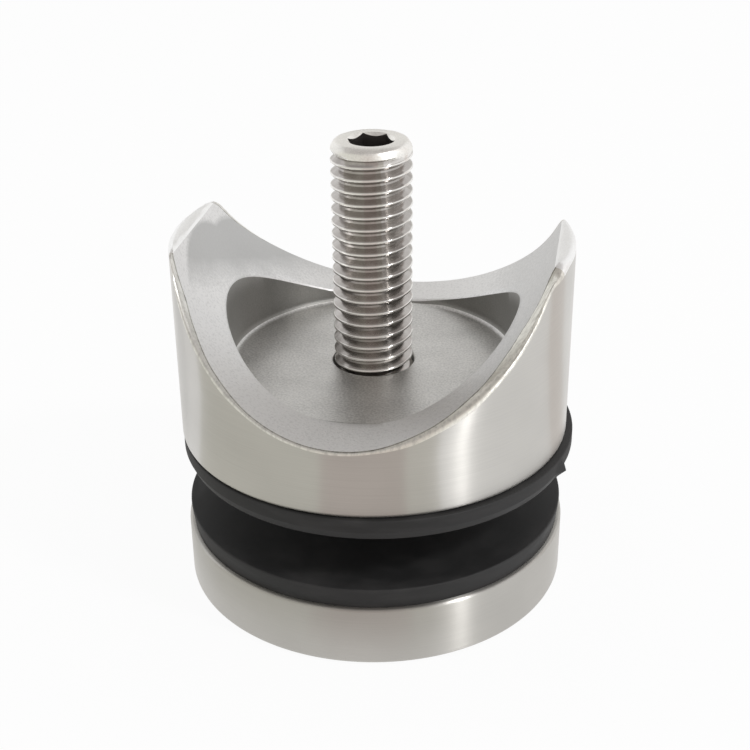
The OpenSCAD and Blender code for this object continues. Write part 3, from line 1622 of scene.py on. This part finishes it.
@dataclass
class Studio:
    """Floor, plain background, light tent, lamp and camera.

    Args:
        reach: The camera's distance from the stud's axis, in millimetres.
        height: Its height above the floor.
        swing: Its direction to the right of straight ahead, in degrees.
        turn: How far it looks to the right of the axis, in degrees.
        dip: How far it looks down.
        roll: How far it leans.
        lens: Focal length in millimetres on a 36 mm sensor.
        tent: Radius of the light tent in metres.
        hem: Radius in metres from which the cards lie on the floor.
        floor: Radius of the floor in metres.
        panels: The tent's upright cards.
    """

    reach: float = 128.0
    height: float = 87.136
    swing: float = 10.323
    turn: float = 0.052
    dip: float = 27.078
    roll: float = -0.659
    lens: float = 66.494
    tent: float = 0.5
    hem: float = 0.026
    floor: float = 3.0
    panels: tuple[Panel, ...] = (
        Panel(-102.0, -26.0, 0.70, (1.0, 0.99, 0.92)),
        Panel(-26.0, 14.0, 0.59, (1.05, 0.96, 0.91)),
        Panel(14.0, 30.0, 0.72, (1.0, 0.98, 0.92)),
        Panel(44.7, 49.7, 6.3, low=0.004),
        Panel(104.0, 122.0, 0.82, (1.02, 0.97, 0.94)),
        Panel(150.0, 200.0, 0.80, (1.0, 0.99, 0.97)),
        Panel(-135.0, -118.0, 0.85),
    )

    def facing(self) -> float:
        """Gives the camera's own direction round the axis, in radians."""
        return math.radians(self.swing) - math.pi / 2.0

    def set_camera(self) -> None:
        """Makes the camera and puts it at its viewing angle."""
        swing = math.radians(self.swing)
        place = Vector((
            self.reach * math.sin(swing), -self.reach * math.cos(swing), self.height
        )) * MM
        turn, dip, roll = (math.radians(v) for v in (self.turn, self.dip, self.roll))
        ahead = Vector((
            math.sin(turn) * math.cos(dip), math.cos(turn) * math.cos(dip), -math.sin(dip)
        ))
        right = Vector((math.cos(turn), -math.sin(turn), 0.0))
        up = right.cross(ahead)
        side = right * math.cos(roll) + up * math.sin(roll)
        top = up * math.cos(roll) - right * math.sin(roll)
        basis = Matrix((side, top, -ahead)).transposed()
        basis = Matrix.Rotation(swing, 3, "Z") @ basis
        data = bpy.data.cameras.new("studio_camera")
        data.lens = self.lens
        data.sensor_width = 36.0
        data.clip_start = 0.005
        data.clip_end = 20.0
        camera = add_object("studio_camera", data)
        camera.matrix_world = Matrix.Translation(place) @ basis.to_4x4()
        bpy.context.scene.camera = camera

    def lay_floor(self, glow: float = 0.93, shade: float = 0.86) -> None:
        """Lays the pale floor, which keeps the object's soft shadow.

        Args:
            glow: Share of its white that shows without any light on it.
            shade: Grey level of the paper under that.
        """
        bench = NodeBench("floor_white")
        share = bench.sum("MULTIPLY", bench.seen(), glow)
        paper = bench.add("BsdfDiffuse", {"Color": (shade, shade, shade)})
        white = bench.add("Emission", {"Color": (1.0, 1.0, 1.0), "Strength": 1.0})
        mix = bench.add("MixShader", {0: share, 1: paper.outputs[0], 2: white.outputs[0]})
        mesh = bmesh.new()
        bmesh.ops.create_circle(mesh, cap_ends=True, segments=64, radius=self.floor)
        floor = mesh_object("studio_floor", mesh, bench.end(mix))
        floor.location.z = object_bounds()[0].z - SLIVER
        floor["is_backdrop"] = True

    def light_world(self, fill: float = 0.75) -> None:
        """Makes the plain surround: white to the eye, softer as light.

        Args:
            fill: Its level as light on matt surfaces.
        """
        world = bpy.data.worlds.new("studio_surround")
        bpy.context.scene.world = world
        bench = NodeBench(world.name, world)
        soft, plain_white = (
            bench.add("Background", {"Color": (1.0, 1.0, 1.0), "Strength": level}).outputs[0]
            for level in (fill, 1.0)
        )
        bench.end(bench.add("MixShader", {0: bench.seen(), 1: soft, 2: plain_white}), "World")

    def hang_panel(self, name: str, panel: Panel) -> None:
        """Hangs one card of the tent, which shows only in reflections.

        Args:
            name: The card's name.
            panel: Its place and brightness.
        """
        profile = [(self.tent, panel.low), (self.tent, panel.high)]
        if panel.low <= 0.0:
            profile = [(self.hem, SLIVER), (self.tent, SLIVER), (self.tent, panel.high)]
        mesh = bmesh.new()
        wide = panel.end - panel.start
        steps = max(2, round(wide / 4.0))
        lines = []
        for step in range(steps + 1):
            way = self.facing() + math.radians(panel.start + wide * step / steps)
            lines.append([
                mesh.verts.new((r * math.cos(way), r * math.sin(way), z)) for r, z in profile
            ])
        for first, second in zip(lines, lines[1:]):
            for place in range(len(profile) - 1):
                mesh.faces.new((
                    first[place], second[place], second[place + 1], first[place + 1]
                ))
        self._place_card(name, mesh, panel.level, panel.tint)

    def _place_card(
        self, name: str, mesh: bmesh.types.BMesh, level: float, tint: Colour
    ) -> None:
        """Makes a glowing card that shows only in reflections.

        Args:
            name: The card's name.
            mesh: Its shape, which is used up.
            level: Its brightness.
            tint: Its colour.
        """
        bench = NodeBench(name)
        glow = bench.add("Emission", {"Color": tint, "Strength": level})
        card = mesh_object(name, mesh, bench.end(glow))
        for kind in ("camera", "diffuse", "shadow", "transmission"):
            setattr(card, f"visible_{kind}", False)
        card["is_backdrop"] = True

    def hang_ceiling(self, level: float = 0.42, height: float = 0.5) -> None:
        """Hangs the tent's dim ceiling, which shows only in reflections.

        Args:
            level: Its brightness.
            height: Its height in metres.
        """
        mesh = bmesh.new()
        bmesh.ops.create_circle(mesh, cap_ends=True, segments=48, radius=self.tent * 0.96)
        for point in mesh.verts:
            point.co.z = height
        self._place_card("tent_ceiling", mesh, level, (1.03, 0.98, 0.95))

    def hang_lamp(
        self, name: str, bearing: float, elevation: float, far: float,
        size: float, watts: float,
    ) -> None:
        """Hangs a soft lamp that points at the fitting.

        Args:
            name: The lamp's name.
            bearing: Degrees to the right of the camera.
            elevation: Degrees above the floor.
            far: Distance in metres.
            size: Width of the lamp in metres.
            watts: Its power.
        """
        low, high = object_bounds()
        aim = (low + high) / 2.0
        way, rise = self.facing() + math.radians(bearing), math.radians(elevation)
        ray = Vector((
            math.cos(way) * math.cos(rise), math.sin(way) * math.cos(rise), math.sin(rise)
        ))
        data = bpy.data.lights.new(name, "AREA")
        data.shape = "DISK"
        data.size = size
        data.energy = watts
        lamp = add_object(name, data)
        lamp.location = aim + ray * far
        lamp.rotation_euler = ray.to_track_quat("Z", "Y").to_euler()

    def build(self) -> None:
        """Sets the whole studio up."""
        self.set_camera()
        self.lay_floor()
        self.light_world()
        for place, panel in enumerate(self.panels):
            self.hang_panel(f"tent_card_{place}", panel)
        self.hang_ceiling()
        self.hang_lamp(
            "lamp_key", bearing=56.0, elevation=45.0, far=0.9, size=0.13, watts=2.0
        )
        settings = bpy.context.scene.view_settings
        settings.view_transform = "Standard"


def main() -> None:
    """Builds the pieces in order and reports each one."""
    logging.basicConfig(level=logging.INFO, format="%(name)s: %(message)s")
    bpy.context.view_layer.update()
    for maker in (
        FrontCap(), CapGasket(), GlassSleeve(), TubeGasket(), SaddleBody(), ThreadedStud()
    ):
        piece = maker.build()
        LOG.info("%s: %d faces", piece.name, len(piece.data.polygons))
    Studio().build()
    bpy.context.view_layer.update()
    LOG.info("studio set")


if __name__ == "__main__":
    main()
